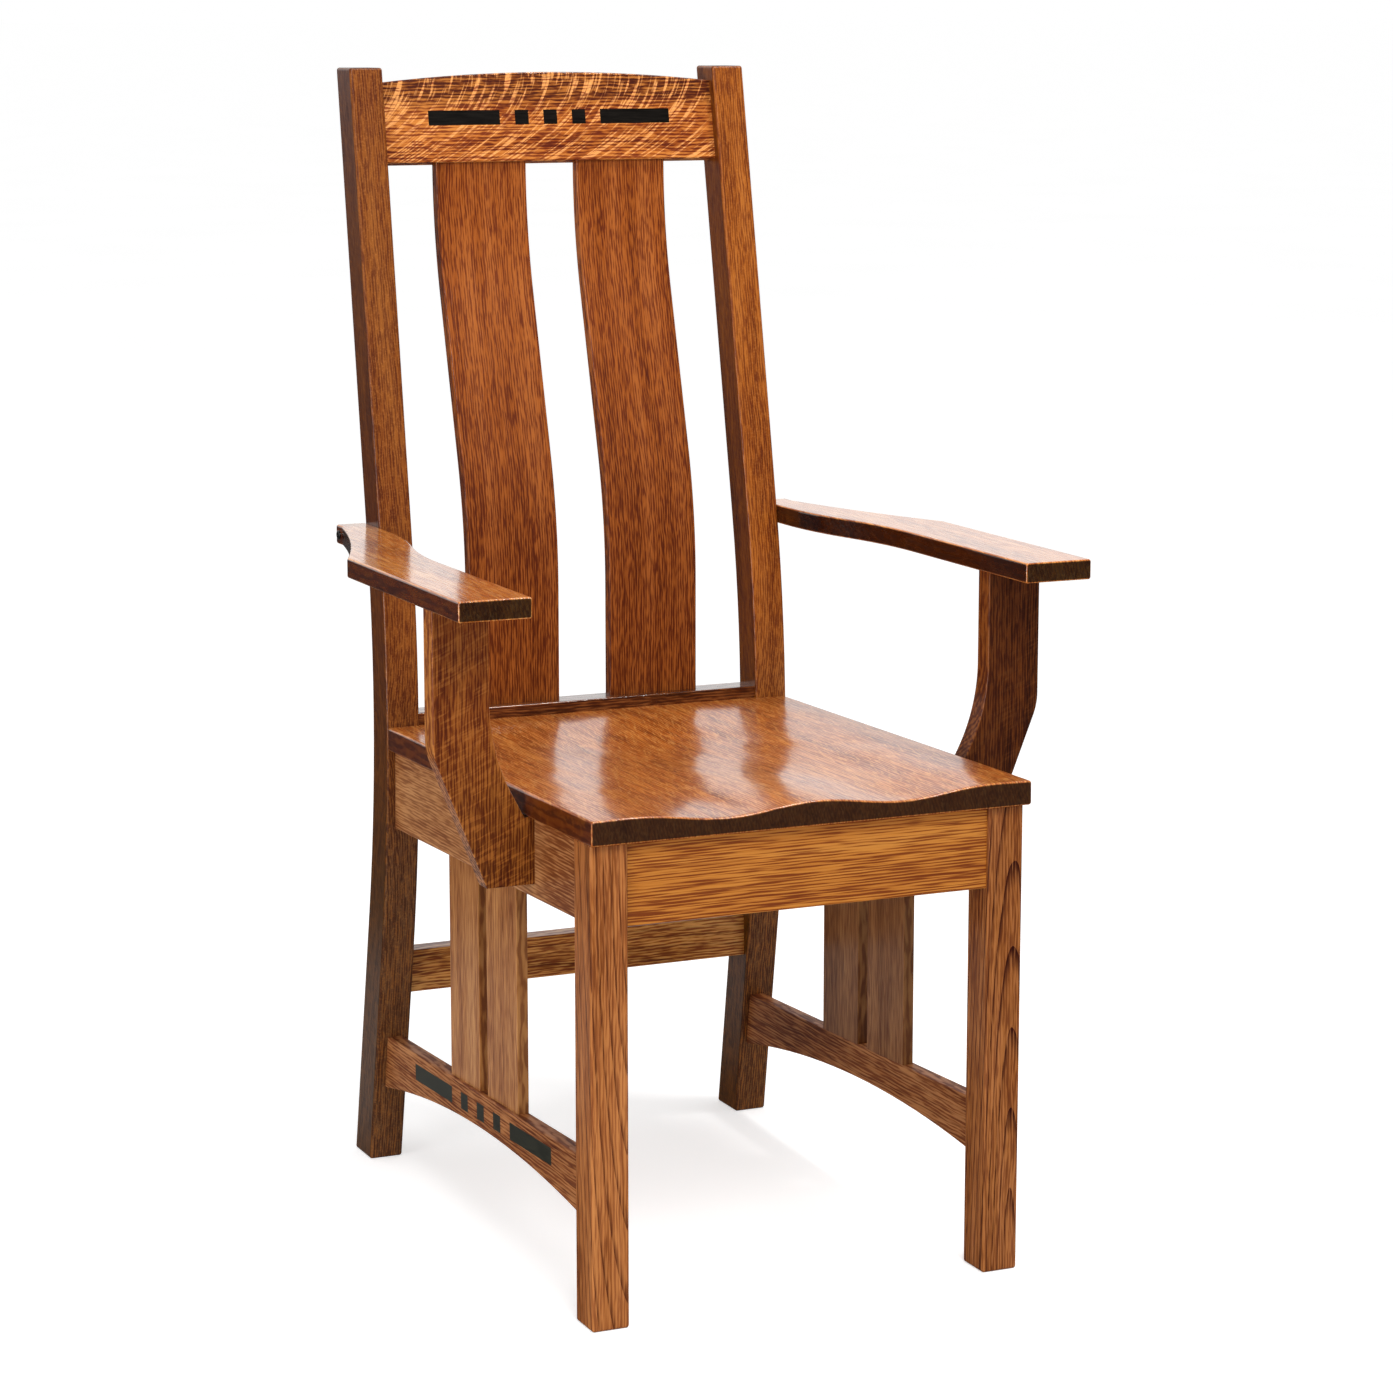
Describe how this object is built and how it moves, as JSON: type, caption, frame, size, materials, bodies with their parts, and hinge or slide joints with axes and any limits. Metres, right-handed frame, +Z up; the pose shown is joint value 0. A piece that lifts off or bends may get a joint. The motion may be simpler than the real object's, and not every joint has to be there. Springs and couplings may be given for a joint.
{
  "type": "dining armchair",
  "caption": "Oak dining armchair with a slatted raked back, scooped plank seat, bracketed arms, slatted sides and arched inlaid stretchers.",
  "frame": {"origin": "on the floor under the middle of the chair's overall width and depth", "axes": "+Z up, the chair's front faces -Y, +X to the right for someone who looks at the front"},
  "size_m": [0.628, 0.66, 1.1036],
  "materials": {
    "oak": "medium reddish brown stain under satin varnish",
    "dark_inlay": "near black inlay wood under satin varnish",
    "oak_unfinished": "plain sanded oak inside the frame",
    "zinc_steel": "zinc plated",
    "black_cap": "glossy black"
  },
  "bodies": {
    "root": {"rear_post_right": "oak", "rear_post_left": "oak", "front_leg_right": "oak", "front_leg_left": "oak", "crest_rail": "oak", "crest_inlay_squares": "dark_inlay", "crest_inlay_bars": "dark_inlay", "back_slat_right": "oak", "back_slat_left": "oak", "lower_back_rail": "oak", "seat": "oak", "front_apron": "oak", "rear_apron": "oak", "side_apron_right": "oak", "side_apron_left": "oak", "side_stretcher_right": "oak", "side_stretcher_left": "oak", "side_inlay_squares_right": "dark_inlay", "side_inlay_squares_left": "dark_inlay", "side_inlay_bars_right": "dark_inlay", "side_inlay_bars_left": "dark_inlay", "rear_stretcher": "oak", "arm_right": "oak", "arm_left": "oak", "arm_post_right": "oak", "arm_post_left": "oak", "arm_dowels": "oak_unfinished", "arm_post_screws": "zinc_steel", "arm_bolts": "zinc_steel", "arm_bolt_caps": "black_cap", "seat_screws": "zinc_steel", "side_slat_front_right": "oak", "side_slat_front_left": "oak", "side_slat_rear_right": "oak", "side_slat_rear_left": "oak", "corner_block_front_right": "oak_unfinished", "corner_block_front_left": "oak_unfinished", "corner_block_rear_right": "oak_unfinished", "corner_block_rear_left": "oak_unfinished"}
  },
  "joints": []
}
